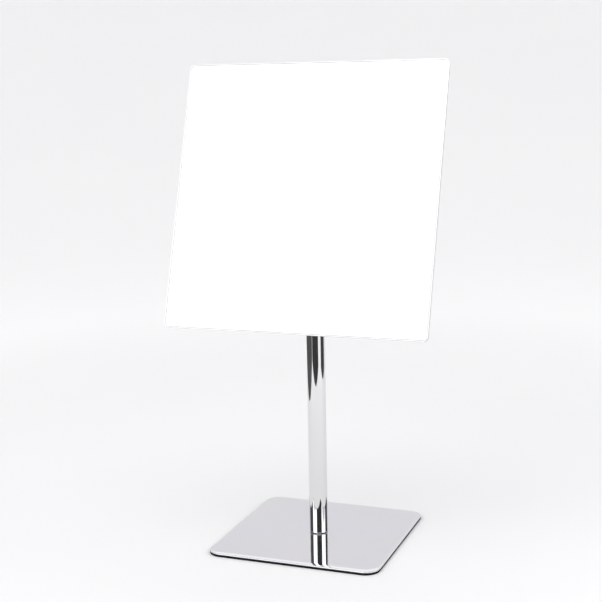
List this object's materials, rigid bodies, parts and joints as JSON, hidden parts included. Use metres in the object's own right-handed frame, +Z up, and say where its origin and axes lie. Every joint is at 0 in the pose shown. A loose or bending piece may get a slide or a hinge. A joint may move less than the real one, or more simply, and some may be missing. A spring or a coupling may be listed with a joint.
{
  "type": "sign stand",
  "caption": "Countertop sign stand: a square blank white face in a thin metal tray, tilting and swivelling on a round post with a thin square base.",
  "frame": {"origin": "centre of the underside of the square base, on the table", "axes": "+Z up along the post, -Y towards the viewer in front of the face, +X to the viewer's right"},
  "size_m": [0.2, 0.132, 0.3583],
  "materials": {
    "polished_chrome": "polished chrome plating",
    "zinc_plated_steel": "satin zinc plating",
    "brushed_tray": "brushed stainless sheet",
    "white_face": "glossy opal white",
    "black_pad": "fine-grained black foam rubber",
    "black_nylon": "matte black nylon",
    "white_nylon": "natural nylon",
    "brass_insert": "turned brass",
    "foam_tape": "white foam tape"
  },
  "bodies": {
    "stand": {"base_pad": "black_pad", "base_plate": "polished_chrome", "base_stud": "zinc_plated_steel", "post_seat_washer": "black_nylon", "post_tube": "polished_chrome", "post_foot_plug": "brass_insert", "post_top_bush": "brass_insert", "swivel_washer": "white_nylon"},
    "head": {"head_clevis": "polished_chrome", "swivel_spring": "zinc_plated_steel", "swivel_ring": "zinc_plated_steel", "tilt_screw": "polished_chrome", "tilt_lock_washer": "zinc_plated_steel", "tilt_washers": "white_nylon", "tilt_nut": "polished_chrome"},
    "panel": {"mount_bracket": "zinc_plated_steel", "bracket_studs": "zinc_plated_steel", "bracket_nuts": "polished_chrome", "back_tray": "brushed_tray", "mounting_tape": "foam_tape", "face_panel": "white_face"}
  },
  "joints": [
    {"name": "head_swivel", "type": "hinge", "parent": "stand", "child": "head", "pos_m": [0, 0, 0.2379], "axis": [0, 0, 1], "continuous": true},
    {"name": "panel_tilt", "type": "hinge", "parent": "head", "child": "panel", "pos_m": [0, 0, 0.2562], "axis": [-1, 0, 0], "range_deg": [-22, 72]}
  ]
}
